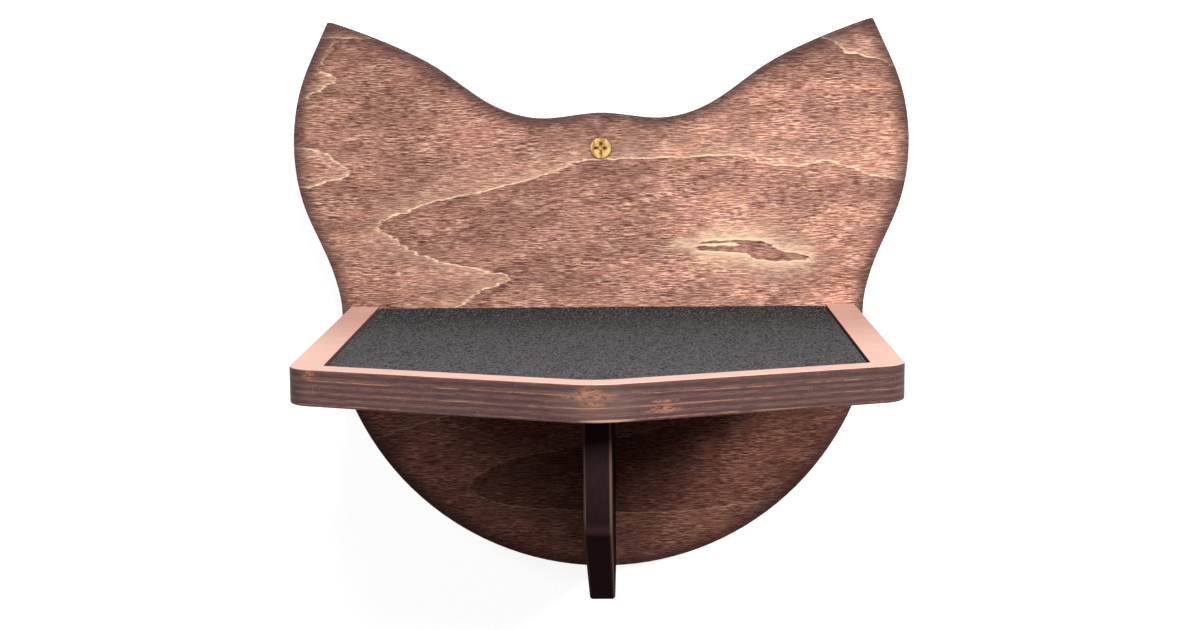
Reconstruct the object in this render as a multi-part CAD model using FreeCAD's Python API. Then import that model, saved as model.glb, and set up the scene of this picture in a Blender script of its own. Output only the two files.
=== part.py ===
import FreeCAD
import Part
import math
import os

# A wall shelf for a cat. A plywood back plate, cut as a round body with a cat's head and
# ears, is screwed to the wall. A shelf board with a shallow recess stands out from it,
# one plywood rib holds the board up from below, and a mat lies loose in the recess.
# Millimetres. +Z is up, +X is to the right, the front faces -Y, and the wall is Y = 0.
# The origin is on the wall's face, on the axis of the wall screw.

# Boards
PLATE_THICK = 12.0
SHELF_THICK = 15.0
RIB_THICK = 12.0

# Heights below the wall screw's axis
SHELF_DROP = 77.0
BODY_DROP = 74.2

# Back plate. The round body is a circle. The points of the right half are
# (distance from the middle, height above the circle's centre).
BODY_RADIUS = 134.0
BODY_JOIN_DEG = 28.0
WAIST = (128.0, -2.0)
NAPE = (133.8, 20.0)
JAW = (144.8, 45.9)
CHEEK = (149.4, 75.0)
EAR_SIDE = (145.3, 104.0)
EAR_TIP = (131.4, 135.8)
EAR_INSIDE_TOP = (105.0, 126.0)
EAR_INSIDE = (78.0, 112.2)
EAR_ROOT = (55.0, 96.1)
VALLEY = (29.0, 88.4)
BROW_HEIGHT = 91.0
EAR_TIP_LEAN_DEG = 24.2
EAR_ROUND = 1.0
PLATE_EDGE_ROUND = 0.5

# Shelf board, seen from above. Depths are measured from the plate's front face.
SHELF_HALF_WIDTH = 123.5
SHELF_CORNER_DEPTH = 189.6
SHELF_TIP_DEPTH = 234.3
SHELF_CORNER_ROUND = 13.0
SHELF_TIP_ROUND = 30.0
SHELF_EDGE_ROUND = 0.6
SIDE_BORDER = 14.0
FRONT_BORDER = 10.0
RECESS_DEPTH = 5.0
RECESS_CORNER_ROUND = 1.5
RECESS_TIP_ROUND = 28.0

# Mat and the two strips of hook tape under it
MAT_THICK = 3.4
MAT_SIDE_CLEAR = 0.6
MAT_REST_CLEAR = 0.3
HOOK_THICK = 0.8
HOOK_WIDTH = 20.0
HOOK_LENGTH = 150.0
HOOK_INSET = 38.5

# Rib under the shelf, seen from the side
RIB_TOP_DEPTH = 188.0
RIB_NOSE_DEPTH = 180.0
RIB_NOSE_HEIGHT = 55.0
RIB_FOOT_DEPTH = 64.0
RIB_FOOT_RISE = 0.7
RIB_NOSE_ROUND = 15.0
RIB_FOOT_ROUND = 6.0
RIB_EDGE_ROUND = 1.5

# Wall screw and wall plug
WALL_SCREW_DIA = 5.0
WALL_SCREW_HEAD_DIA = 10.0
WALL_SCREW_LENGTH = 60.0
WALL_THREAD_PITCH = 2.4
WALL_SCREW_PROUD = 0.4
WALL_SCREW_TURN_DEG = 25.0
PLUG_DIA = 8.0
PLUG_LENGTH = 40.0
PLUG_NECK = 12.0
PLUG_NOSE_DIA = 5.6
PLUG_SLOT = 1.0
PLUG_SLOT_START = 15.0
PLUG_SLOT_LENGTH = 22.0
PLUG_RIB = 0.4
PLUG_RIB_PITCH = 4.0
PLUG_RIB_SHARE = 0.8

# Wood screws inside the boards
WOOD_SCREW_DIA = 4.0
WOOD_SCREW_HEAD_DIA = 8.0
PLATE_SCREW_LENGTH = 40.0
TOP_SCREW_LENGTH = 35.0
WOOD_THREAD_PITCH = 1.8
SHELF_SCREW_SPREAD = 80.0
RIB_SCREW_INSET = 26.0
TOP_SCREW_DEPTHS = {"rear": 50.0, "front": 140.0}

# Shared screw details
HEAD_RIM = 0.4
THREAD_ROOT_SHARE = 0.7
THREAD_START_SHARE = 0.25
THREAD_RISE_SHARE = 0.45
THREAD_CREST_SHARE = 0.6
THREAD_FALL_SHARE = 0.75
HOLE_CLEAR = 0.05
HOLE_SPARE = 1.0
HEAD_SINK = 0.2
CROSS_SLOT_SHARE = 0.15
CROSS_SPAN_SHARE = 0.66
CROSS_SINK_SHARE = 0.28
CROSS_FLOOR_SHARE = 0.3

# Places worked out from the sizes above
SHELF_TOP = -SHELF_DROP
SHELF_UNDERSIDE = SHELF_TOP - SHELF_THICK
RECESS_FLOOR = SHELF_TOP - RECESS_DEPTH
PLATE_FRONT = -PLATE_THICK
RIB_FOOT = -BODY_DROP - BODY_RADIUS + RIB_FOOT_RISE
FRONT_SLOPE = math.atan2(SHELF_TIP_DEPTH - SHELF_CORNER_DEPTH, SHELF_HALF_WIDTH)
X_AXIS = FreeCAD.Vector(1, 0, 0)
Y_AXIS = FreeCAD.Vector(0, 1, 0)
Z_AXIS = FreeCAD.Vector(0, 0, 1)


def lines_through(points):
    """Straight edges from point to point."""
    return [Part.makeLine(a, b) for a, b in zip(points, points[1:])]


def curve_through(points, first=None, last=None):
    """One smooth edge through the points, with given directions at its ends."""
    spline = Part.BSplineCurve()
    if first is None:
        spline.interpolate(points)
    else:
        spline.interpolate(Points=points, InitialTangent=first, FinalTangent=last)
    return spline.toShape()


def face_of(edges):
    """The flat face inside a closed loop of edges."""
    return Part.Face(Part.Wire(Part.__sortEdges__(edges)))


def edges_where(shape, test):
    """The edges of a shape whose every sampled point passes the test."""
    chosen = []
    for edge in shape.Edges:
        if all(test(point) for point in edge.discretize(5)):
            chosen.append(edge)
    return chosen


def upright_edges_at(shape, axis, spots):
    """The edges along an axis that run through one of the spots."""
    chosen = []
    for edge in shape.Edges:
        start, end = edge.Vertexes[0].Point, edge.Vertexes[-1].Point
        along = (end - start).cross(axis).Length < 1e-6 and (end - start).Length > 1e-6
        near = any(start.sub(spot).cross(axis).Length < 1e-3 for spot in spots)
        if along and near:
            chosen.append(edge)
    return chosen


# The back plate

def plate_point(point, side=1):
    """A point of the plate's outline on the wall's face, on the right or the left."""
    return FreeCAD.Vector(side * point[0], 0, point[1] - BODY_DROP)


def plate_side(side):
    """The edge from an ear's tip down past cheek and waist to the round body."""
    turn = math.radians(BODY_JOIN_DEG)
    join = (BODY_RADIUS * math.cos(turn), -BODY_RADIUS * math.sin(turn))
    stops = [EAR_TIP, EAR_SIDE, CHEEK, JAW, NAPE, WAIST, join]
    points = [plate_point(stop, side) for stop in stops]
    start = FreeCAD.Vector(side * math.tan(math.radians(EAR_TIP_LEAN_DEG)), 0, -1)
    end = FreeCAD.Vector(-side * math.sin(turn), 0, -math.cos(turn))
    return curve_through(points, start, end)


def plate_top():
    """The edge from ear to ear, down through both valleys and over the brow."""
    half = [VALLEY, EAR_ROOT, EAR_INSIDE, EAR_INSIDE_TOP, EAR_TIP]
    left = [plate_point(stop, -1) for stop in reversed(half)]
    right = [plate_point(stop) for stop in half]
    return curve_through(left + [plate_point((0, BROW_HEIGHT))] + right)


def plate_body():
    """The lower arc of the round body."""
    turn = math.radians(BODY_JOIN_DEG)
    right = (BODY_RADIUS * math.cos(turn), -BODY_RADIUS * math.sin(turn))
    low = (0, -BODY_RADIUS)
    ends = [plate_point(right), plate_point(low), plate_point(right, -1)]
    return Part.Arc(*ends).toShape()


def back_plate():
    edges = [plate_top(), plate_side(1), plate_body(), plate_side(-1)]
    plate = face_of(edges).extrude(Y_AXIS * -PLATE_THICK)
    tips = [plate_point(EAR_TIP), plate_point(EAR_TIP, -1)]
    plate = plate.makeFillet(EAR_ROUND, upright_edges_at(plate, Y_AXIS, tips))
    rim = edges_where(plate, lambda point: abs(point.y - PLATE_FRONT) < 1e-6)
    plate = plate.makeFillet(PLATE_EDGE_ROUND, rim)
    plate = plate.cut(wall_screw_hole())
    for spot in plate_screw_spots().values():
        plate = plate.cut(screw_hole(WOOD_SCREW_DIA, WOOD_SCREW_HEAD_DIA,
                                     PLATE_SCREW_LENGTH, spot, -Y_AXIS))
    return plate


# The shelf board, its recess and the mat

def board_outline(half_width, corner_depth, tip_depth, rear_depth, height):
    """The shelf's outline from above: straight sides and a front that comes to a tip."""
    corners = [(-half_width, rear_depth), (half_width, rear_depth),
               (half_width, corner_depth), (0, tip_depth), (-half_width, corner_depth),
               (-half_width, rear_depth)]
    points = [FreeCAD.Vector(x, PLATE_FRONT - depth, height) for x, depth in corners]
    return face_of(lines_through(points))


def rounded_board(half_width, corner_depth, tip_depth, rear_depth, bottom, thick, rounds):
    """A board with the shelf's outline, with its front corners and its tip rounded."""
    face = board_outline(half_width, corner_depth, tip_depth, rear_depth, bottom)
    board = face.extrude(Z_AXIS * thick)
    corner_round, tip_round = rounds
    corners = [FreeCAD.Vector(x, PLATE_FRONT - corner_depth, bottom)
               for x in (half_width, -half_width)]
    board = board.makeFillet(corner_round, upright_edges_at(board, Z_AXIS, corners))
    tip = FreeCAD.Vector(0, PLATE_FRONT - tip_depth, bottom)
    return board.makeFillet(tip_round, upright_edges_at(board, Z_AXIS, [tip]))


def inset_depths(inset_side, inset_front):
    """Half width, corner depth and tip depth of the shelf's outline set in all round."""
    half_width = SHELF_HALF_WIDTH - inset_side
    tip_depth = SHELF_TIP_DEPTH - inset_front / math.cos(FRONT_SLOPE)
    corner_depth = tip_depth - half_width * math.tan(FRONT_SLOPE)
    return half_width, corner_depth, tip_depth


def recess():
    """The space routed out of the board, open at the back towards the plate."""
    sizes = inset_depths(SIDE_BORDER, FRONT_BORDER)
    rounds = (RECESS_CORNER_ROUND, RECESS_TIP_ROUND)
    return rounded_board(*sizes, -HOLE_SPARE, RECESS_FLOOR, RECESS_DEPTH + HOLE_SPARE, rounds)


def shelf_board():
    rounds = (SHELF_CORNER_ROUND, SHELF_TIP_ROUND)
    board = rounded_board(SHELF_HALF_WIDTH, SHELF_CORNER_DEPTH, SHELF_TIP_DEPTH, 0,
                          SHELF_UNDERSIDE, SHELF_THICK, rounds)
    front = edges_where(board, lambda point: point.y < PLATE_FRONT - 1e-3)
    sides = edges_where(board, lambda point: abs(abs(point.x) - SHELF_HALF_WIDTH) < 1e-6)
    level = [edge for edge in front + sides if edge.BoundBox.ZLength < 1e-6]
    board = board.makeFillet(SHELF_EDGE_ROUND, level)
    board = board.cut(recess())
    for spot in shelf_screw_spots().values():
        board = board.cut(screw_hole(WOOD_SCREW_DIA, WOOD_SCREW_HEAD_DIA,
                                     PLATE_SCREW_LENGTH, spot, -Y_AXIS))
    for spot in top_screw_spots().values():
        board = board.cut(screw_hole(WOOD_SCREW_DIA, WOOD_SCREW_HEAD_DIA,
                                     TOP_SCREW_LENGTH, spot, -Z_AXIS))
    return board


def shelf_mat():
    sizes = inset_depths(SIDE_BORDER + MAT_SIDE_CLEAR, FRONT_BORDER + MAT_SIDE_CLEAR)
    rounds = (RECESS_CORNER_ROUND, RECESS_TIP_ROUND)
    bottom = RECESS_FLOOR + HOOK_THICK + MAT_REST_CLEAR
    return rounded_board(*sizes, MAT_SIDE_CLEAR, bottom, MAT_THICK, rounds)


def hook_strip(side):
    """A strip of hook tape on the recess's floor, running from back to front."""
    rear = (inset_depths(SIDE_BORDER, FRONT_BORDER)[1] - HOOK_LENGTH) / 2
    middle = SHELF_HALF_WIDTH - SIDE_BORDER - HOOK_INSET
    corner = FreeCAD.Vector(side * middle - HOOK_WIDTH / 2,
                            PLATE_FRONT - rear - HOOK_LENGTH, RECESS_FLOOR)
    return Part.makeBox(HOOK_WIDTH, HOOK_LENGTH, HOOK_THICK, corner)


# The rib

def support_rib():
    """The upright rib: a near-upright nose, a slope back down, and a foot by the plate's end."""
    side = -RIB_THICK / 2
    corners = [(0, SHELF_UNDERSIDE), (RIB_TOP_DEPTH, SHELF_UNDERSIDE),
               (RIB_NOSE_DEPTH, SHELF_UNDERSIDE - RIB_NOSE_HEIGHT),
               (RIB_FOOT_DEPTH, RIB_FOOT), (0, RIB_FOOT)]
    points = [FreeCAD.Vector(side, PLATE_FRONT - depth, height) for depth, height in corners]
    rib = face_of(lines_through(points + points[:1])).extrude(X_AXIS * RIB_THICK)
    nose, foot = points[2], points[3]
    rib = rib.makeFillet(RIB_NOSE_ROUND, upright_edges_at(rib, X_AXIS, [nose]))
    rib = rib.makeFillet(RIB_FOOT_ROUND, upright_edges_at(rib, X_AXIS, [foot]))
    sides = edges_where(rib, lambda point: abs(abs(point.x) - RIB_THICK / 2) < 1e-6)
    long_edges = [edge for edge in sides if edge.BoundBox.ZMin < SHELF_UNDERSIDE - 1e-3
                  and edge.BoundBox.YMin < PLATE_FRONT - 1e-3]
    rib = rib.makeFillet(RIB_EDGE_ROUND, long_edges)
    for spot in rib_screw_spots().values():
        rib = rib.cut(screw_hole(WOOD_SCREW_DIA, WOOD_SCREW_HEAD_DIA,
                                 PLATE_SCREW_LENGTH, spot, -Y_AXIS))
    for spot in top_screw_spots().values():
        rib = rib.cut(screw_hole(WOOD_SCREW_DIA, WOOD_SCREW_HEAD_DIA,
                                 TOP_SCREW_LENGTH, spot, -Z_AXIS))
    return rib


# Screws. Each is made with its head's top at the origin and its point along +Z.

def turned(profile):
    """The solid of revolution about +Z of a profile of (radius, height) points."""
    points = [FreeCAD.Vector(radius, 0, height) for radius, height in profile]
    loop = lines_through(points + points[:1])
    return face_of(loop).revolve(FreeCAD.Vector(0, 0, 0), Z_AXIS, 360)


def cross_recess(head_dia):
    """The cross that a driver's bit fills, narrowing to its floor."""
    span = head_dia * CROSS_SPAN_SHARE
    sink = head_dia * CROSS_SINK_SHARE
    floor = head_dia * CROSS_FLOOR_SHARE
    slot = head_dia * CROSS_SLOT_SHARE
    bars = Part.makeBox(span, slot, sink, FreeCAD.Vector(-span / 2, -slot / 2, 0))
    bars = bars.fuse(bars.rotated(FreeCAD.Vector(0, 0, 0), Z_AXIS, 90))
    taper = Part.makeCone(span / 2, floor / 2, sink)
    return bars.common(taper)


def screw(dia, head_dia, length, plain, pitch):
    """A countersunk screw: rim, cone, plain shank, thread crests and point."""
    crest = dia / 2
    root = crest * THREAD_ROOT_SHARE
    neck = HEAD_RIM + head_dia / 2 - crest
    point = length - dia
    turns = int((point - plain) / pitch)
    profile = [(0, 0), (head_dia / 2, 0), (head_dia / 2, HEAD_RIM), (crest, neck)]
    profile += [(crest, plain), (root, plain + pitch * THREAD_START_SHARE)]
    for turn in range(turns):
        height = plain + pitch * turn
        profile += [(root, height + pitch * THREAD_RISE_SHARE),
                    (crest, height + pitch * THREAD_CREST_SHARE),
                    (root, height + pitch * THREAD_FALL_SHARE)]
    profile += [(root, point), (0, length)]
    return turned(profile).cut(cross_recess(head_dia))


def aimed(shape, spot, direction):
    """A screw or hole moved so that its head is at the spot and it points along direction."""
    moved = shape.copy()
    moved.Placement = FreeCAD.Placement(spot, FreeCAD.Rotation(Z_AXIS, direction))
    return moved


def screw_hole(dia, head_dia, length, spot, direction):
    """The hole that a screw stands in: a countersink and a bore a little deeper than it."""
    bore = dia / 2 + HOLE_CLEAR
    mouth = head_dia / 2 + HOLE_CLEAR
    profile = [(0, -HOLE_SPARE), (mouth, -HOLE_SPARE), (mouth, HEAD_RIM),
               (bore, HEAD_RIM + mouth - bore), (bore, length + HOLE_SPARE),
               (0, length + HOLE_SPARE)]
    return aimed(turned(profile), spot, direction)


def wall_screw_spot():
    """The middle of the wall screw's head, which stands a little proud of the plate."""
    return FreeCAD.Vector(0, PLATE_FRONT - WALL_SCREW_PROUD, 0)


def wall_screw_hole():
    return screw_hole(WALL_SCREW_DIA, WALL_SCREW_HEAD_DIA, WALL_SCREW_LENGTH,
                      wall_screw_spot(), Y_AXIS)


def wall_screw():
    """The screw as it was last driven, with its cross a little off upright."""
    body = screw(WALL_SCREW_DIA, WALL_SCREW_HEAD_DIA, WALL_SCREW_LENGTH, PLATE_THICK,
                 WALL_THREAD_PITCH)
    body.rotate(FreeCAD.Vector(0, 0, 0), Z_AXIS, WALL_SCREW_TURN_DEG)
    return aimed(body, wall_screw_spot(), Y_AXIS)


def wall_plug():
    """The nylon plug: a plain neck, then a split and ribbed length that spreads."""
    outer = PLUG_DIA / 2
    profile = [(0, 0), (outer, 0), (outer, PLUG_NECK)]
    ribs = int((PLUG_LENGTH - PLUG_NECK) / PLUG_RIB_PITCH)
    for rib in range(ribs):
        foot = PLUG_NECK + rib * PLUG_RIB_PITCH
        profile += [(outer - PLUG_RIB, foot), (outer, foot + PLUG_RIB_PITCH * PLUG_RIB_SHARE),
                    (outer, foot + PLUG_RIB_PITCH)]
    profile += [(PLUG_NOSE_DIA / 2, PLUG_LENGTH), (0, PLUG_LENGTH)]
    plug = turned(profile)
    slot = Part.makeBox(PLUG_DIA, PLUG_SLOT, PLUG_SLOT_LENGTH,
                        FreeCAD.Vector(-outer, -PLUG_SLOT / 2, PLUG_SLOT_START))
    plug = plug.cut(slot)
    plug = plug.cut(slot.rotated(FreeCAD.Vector(0, 0, 0), Z_AXIS, 90))
    plug = aimed(plug, FreeCAD.Vector(0, 0, 0), Y_AXIS)
    return plug.cut(wall_screw_hole())


# Where the wood screws stand. Those through the plate have their heads sunk in its back.

def shelf_screw_spots():
    middle = (RECESS_FLOOR + SHELF_UNDERSIDE) / 2
    sides = {"left": -SHELF_SCREW_SPREAD, "middle": 0, "right": SHELF_SCREW_SPREAD}
    return {name: FreeCAD.Vector(x, -HEAD_SINK, middle) for name, x in sides.items()}


def rib_screw_spots():
    heights = {"upper": SHELF_UNDERSIDE - RIB_SCREW_INSET, "lower": RIB_FOOT + RIB_SCREW_INSET}
    return {name: FreeCAD.Vector(0, -HEAD_SINK, height) for name, height in heights.items()}


def plate_screw_spots():
    spots = {"shelf_screw_" + name: spot for name, spot in shelf_screw_spots().items()}
    spots.update({"rib_screw_" + name: spot for name, spot in rib_screw_spots().items()})
    return spots


def top_screw_spots():
    """Screws down through the recess's floor into the top of the rib, under the mat."""
    return {name: FreeCAD.Vector(0, PLATE_FRONT - depth, RECESS_FLOOR - HEAD_SINK)
            for name, depth in TOP_SCREW_DEPTHS.items()}


def parts():
    made = {"back_plate": back_plate(), "shelf_board": shelf_board(),
            "support_rib": support_rib(), "shelf_mat": shelf_mat(),
            "hook_strip_left": hook_strip(-1), "hook_strip_right": hook_strip(1),
            "wall_screw": wall_screw(), "wall_plug": wall_plug()}
    long_screw = screw(WOOD_SCREW_DIA, WOOD_SCREW_HEAD_DIA, PLATE_SCREW_LENGTH,
                       PLATE_THICK, WOOD_THREAD_PITCH)
    for name, spot in plate_screw_spots().items():
        made[name] = aimed(long_screw, spot, -Y_AXIS)
    short_screw = screw(WOOD_SCREW_DIA, WOOD_SCREW_HEAD_DIA, TOP_SCREW_LENGTH,
                        SHELF_THICK - RECESS_DEPTH, WOOD_THREAD_PITCH)
    for name, spot in top_screw_spots().items():
        made["top_screw_" + name] = aimed(short_screw, spot, -Z_AXIS)
    return made


os.makedirs("parts", exist_ok=True)
for node, shape in parts().items():
    box = shape.BoundBox
    print(f"{node}: {len(shape.Solids)} solid, {shape.Volume / 1000:.2f} cm3, valid {shape.isValid()},"
          f" {box.XLength:.1f} x {box.YLength:.1f} x {box.ZLength:.1f}")
    shape.exportStep(f"parts/{node}.step")
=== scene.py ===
# %% [markdown]
# # Dressing a cat's wall shelf
# The shelf is three plywood boards and a mat. A back plate is cut as a round body with a
# cat's head and ears, a shelf board stands out from it, one rib holds the board up, and a
# felt mat lies in a shallow recess. The boards, screws and plug arrive as finished solids,
# so this lesson gives them their wood, metal and nylon, makes the mat, and sets up the
# light and the camera. Lengths in Blender are metres. Sizes of grain and wear are easier
# to think of in millimetres, so the materials turn their coordinates into millimetres first.

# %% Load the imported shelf
import math

import bmesh
import bpy
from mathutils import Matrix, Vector, noise


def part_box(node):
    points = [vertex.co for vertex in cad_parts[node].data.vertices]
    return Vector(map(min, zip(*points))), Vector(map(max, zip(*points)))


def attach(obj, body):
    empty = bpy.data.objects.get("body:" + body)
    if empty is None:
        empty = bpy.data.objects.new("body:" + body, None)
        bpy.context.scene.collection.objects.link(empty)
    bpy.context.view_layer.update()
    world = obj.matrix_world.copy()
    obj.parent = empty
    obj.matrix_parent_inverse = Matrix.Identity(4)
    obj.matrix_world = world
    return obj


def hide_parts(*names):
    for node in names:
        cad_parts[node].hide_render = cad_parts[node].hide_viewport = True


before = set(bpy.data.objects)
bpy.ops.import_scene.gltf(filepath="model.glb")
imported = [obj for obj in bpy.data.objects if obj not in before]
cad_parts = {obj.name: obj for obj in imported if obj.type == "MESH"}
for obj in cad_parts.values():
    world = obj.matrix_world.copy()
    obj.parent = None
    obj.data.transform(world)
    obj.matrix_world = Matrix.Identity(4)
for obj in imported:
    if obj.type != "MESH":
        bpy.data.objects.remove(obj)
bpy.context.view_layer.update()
MM = 0.001
scene = bpy.context.scene
print("pieces of the shelf:", ", ".join(sorted(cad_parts)))

# %% [markdown]
# ## The camera
# The photographer stood about a metre away, with the lens just above the screw, looking a
# little down. A long lens on a full-frame sensor gives the same mild perspective. The lens
# is worked out from a focal length in pixels, which is what fitting a camera to a picture
# gives. The camera turns first about its own sideways axis, and then a touch sideways.

# %% Set the camera
FOCAL_PIXELS = 2007.3
PICTURE_WIDTH = 1200
SENSOR_WIDTH = 36.0
CAMERA_PLACE = (0.01316, -0.98888, 0.04923)
CAMERA_TILT = 82.358
CAMERA_ROLL = 0.484
CAMERA_TURN = 0.768

camera_data = bpy.data.cameras.new("camera")
camera_data.sensor_width = SENSOR_WIDTH
camera_data.lens = FOCAL_PIXELS / PICTURE_WIDTH * SENSOR_WIDTH
camera = bpy.data.objects.new("camera", camera_data)
camera.location = CAMERA_PLACE
camera.rotation_euler = [math.radians(a) for a in (CAMERA_TILT, CAMERA_ROLL, CAMERA_TURN)]
scene.collection.objects.link(camera)
scene.camera = camera
print(f"lens {camera_data.lens:.1f} mm")

# %% [markdown]
# ## Helpers for node trees
# A material is a tree of small nodes. Writing every node and link out by hand takes many
# lines, so a few short helpers do it: one adds a node and fills its inputs, some do a sum, a
# smooth step or a mix, and one starts a node group. A group is a box of nodes with named
# inputs and outputs, so that the same effect can serve several materials with other values.

# %% Write the helpers
def filled(tree, node, inputs):
    """The node with a value or a link put on each named input."""
    for name, value in inputs.items():
        if isinstance(value, bpy.types.NodeSocket):
            tree.links.new(value, node.inputs[name])
        else:
            node.inputs[name].default_value = value
    return node


def add(tree, kind, inputs=None, node_tree=None, **settings):
    """A new node with its settings and its inputs."""
    node = tree.nodes.new(kind)
    if node_tree:
        node.node_tree = node_tree
    for name, value in settings.items():
        setattr(node, name, value)
    return filled(tree, node, inputs or {})


def maths(tree, operation, *values, clamp=False):
    """The result of one sum."""
    node = add(tree, "ShaderNodeMath", operation=operation, use_clamp=clamp)
    return filled(tree, node, dict(enumerate(values))).outputs[0]


def ramp(tree, value, low, high, to_low=0.0, to_high=1.0):
    """A smooth step of value, from to_low at low to to_high at high."""
    node = add(tree, "ShaderNodeMapRange", {"Value": value, "From Min": low, "From Max": high,
               "To Min": to_low, "To Max": to_high}, interpolation_type="SMOOTHSTEP")
    return node.outputs["Result"]


def mixed(tree, factor, first, second, blend="MIX"):
    """A colour between first and second, or the two multiplied."""
    node = add(tree, "ShaderNodeMix", data_type="RGBA", blend_type=blend)
    sockets = {socket.identifier: socket for socket in node.inputs}
    for name, value in (("Factor_Float", factor), ("A_Color", first), ("B_Color", second)):
        if isinstance(value, bpy.types.NodeSocket):
            tree.links.new(value, sockets[name])
        else:
            sockets[name].default_value = value if name == "Factor_Float" else (*value, 1)
    return next(socket for socket in node.outputs if socket.identifier == "Result_Color")


def shaded(tree, colour, level):
    """A colour made lighter or darker by a level around 1."""
    grey = add(tree, "ShaderNodeCombineColor", {"Red": level, "Green": level, "Blue": level})
    return mixed(tree, 1.0, colour, grey.outputs[0], blend="MULTIPLY")


def group(name, inputs, outputs):
    """An empty node group, with number sockets, and its input and output sockets."""
    tree = bpy.data.node_groups.new(name, "ShaderNodeTree")
    for socket, value in inputs.items():
        made = tree.interface.new_socket(socket, in_out="INPUT", socket_type="NodeSocketFloat")
        made.default_value = value
    for socket in outputs:
        tree.interface.new_socket(socket, in_out="OUTPUT", socket_type="NodeSocketFloat")
    return tree, add(tree, "NodeGroupInput").outputs, add(tree, "NodeGroupOutput").inputs


def placed(tree, node_group, **inputs):
    """The outputs of a group put in a material. Underscores in names stand for spaces."""
    named = {name.replace("_", " "): value for name, value in inputs.items()}
    return add(tree, "ShaderNodeGroup", named, node_tree=node_group).outputs


def srgb(red, green, blue):
    """The linear colour of a colour given as 0 to 255 numbers, as a paint chart gives it."""
    def linear(part):
        part /= 255
        return part / 12.92 if part <= 0.04045 else ((part + 0.055) / 1.055) ** 2.4
    return tuple(linear(part) for part in (red, green, blue))


# %% [markdown]
# ## Stretched noise
# Almost every mark on wood is long one way and narrow the other: a fibre, a cloud of stain,
# a streak on an edge. Noise gives all of these, once its coordinates are divided by the
# mark's length one way and by its width the other way. A second helper cuts such noise
# between two levels, so that only the stronger marks are left, with soft or sharp rims. A
# depth of its own gives each effect another pattern.

# %% Write the noise helpers
DEPTH_SCALE = 4.0


def stretched(tree, where, size, detail=3.0, rough=0.6):
    """Noise whose marks have a length and a width, at a place given as three sockets."""
    along, across, depth = where
    place = add(tree, "ShaderNodeCombineXYZ", {"X": maths(tree, "DIVIDE", along, size[0]),
                "Y": maths(tree, "DIVIDE", across, size[1]),
                "Z": maths(tree, "DIVIDE", depth, DEPTH_SCALE)})
    made = add(tree, "ShaderNodeTexNoise", {"Vector": place.outputs[0], "Scale": 1.0,
               "Detail": detail, "Roughness": rough})
    return made.outputs["Fac"]


def marks(tree, where, size, levels, to=(0.0, 1.0), detail=3.0, rough=0.6):
    """Stretched noise cut between two levels, from to[0] at the first to to[1] at the second."""
    return ramp(tree, stretched(tree, where, size, detail, rough), *levels, *to)


# %% [markdown]
# ## Wood fibres
# Birch veneer has short, fine fibres that all run one way. Stain sinks into the open ones,
# so they show as dark dashes a centimetre long and half a millimetre wide, and the closed
# ones between them catch the light. Long and short fibres are added up here, bent a little
# by a slow noise. Another noise makes the wood more open in some places than in others, and
# the slowest one adds the clouds that stain leaves on birch.

# %% Build the fibre group
FIBRE_LENGTH, FIBRE_WIDTH = 9.0, 0.44
SHORT_LENGTH_SHARE, SHORT_WIDTH_SHARE = 0.4, 0.8
LONG_WEIGHT, SHORT_WEIGHT = 0.55, 0.45
BEND_SIZE, BEND_REACH = (60.0, 25.0), 5.0
OPEN_SIZE, OPEN_LEVELS, CLOSED_WOOD = (24.0, 5.0), (0.35, 0.65), 0.6
CLOUD_SIZE, CLOUD_LEVELS, CLOUD_ROUGH = (40.0, 13.0), (0.3, 0.7), 0.55
DARK_LEVELS, LIGHT_LEVELS = (0.51, 0.425), (0.50, 0.58)

fibres, given, out = group("wood fibres", {"Along": 0, "Across": 0, "Depth": 0,
                           "Length": FIBRE_LENGTH, "Width": FIBRE_WIDTH},
                           ["Dark fibres", "Light fibres", "Clouds", "Height"])
where = (given["Along"], given["Across"], given["Depth"])
bend = maths(fibres, "MULTIPLY", stretched(fibres, where, BEND_SIZE, detail=1.0), BEND_REACH)
where = (given["Along"], maths(fibres, "ADD", given["Across"], bend), given["Depth"])
fine = stretched(fibres, where, (given["Length"], given["Width"]))
short = stretched(fibres, where, (maths(fibres, "MULTIPLY", given["Length"], SHORT_LENGTH_SHARE),
                                  maths(fibres, "MULTIPLY", given["Width"], SHORT_WIDTH_SHARE)),
                  detail=2.0)
height = maths(fibres, "ADD", maths(fibres, "MULTIPLY", fine, LONG_WEIGHT),
               maths(fibres, "MULTIPLY", short, SHORT_WEIGHT))
open_wood = marks(fibres, where, OPEN_SIZE, OPEN_LEVELS, to=(CLOSED_WOOD, 1.0), detail=2.0)
for name, levels in (("Dark fibres", DARK_LEVELS), ("Light fibres", LIGHT_LEVELS)):
    fibres.links.new(maths(fibres, "MULTIPLY", ramp(fibres, height, *levels), open_wood), out[name])
fibres.links.new(marks(fibres, where, CLOUD_SIZE, CLOUD_LEVELS, rough=CLOUD_ROUGH), out["Clouds"])
fibres.links.new(height, out["Height"])
print("group:", fibres.name)

# %% [markdown]
# ## Growth lines
# The plate's face is a sheet peeled off a log, so the tree's rings show as long tongues. At
# each ring the dense late wood takes no stain and leaves a thin pale line, and the wood
# inside it starts dark and pales slowly. The line is ragged, because it hops from fibre to
# fibre. It is easiest to make from a distance: how far a spot lies inside the tongue. This
# group turns that distance into a thin line, a dark band inside and a pale glow outside.

# %% Build the growth line group
LINE_CORE = 0.35
GLOW_STEEPNESS = 2.5

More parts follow.
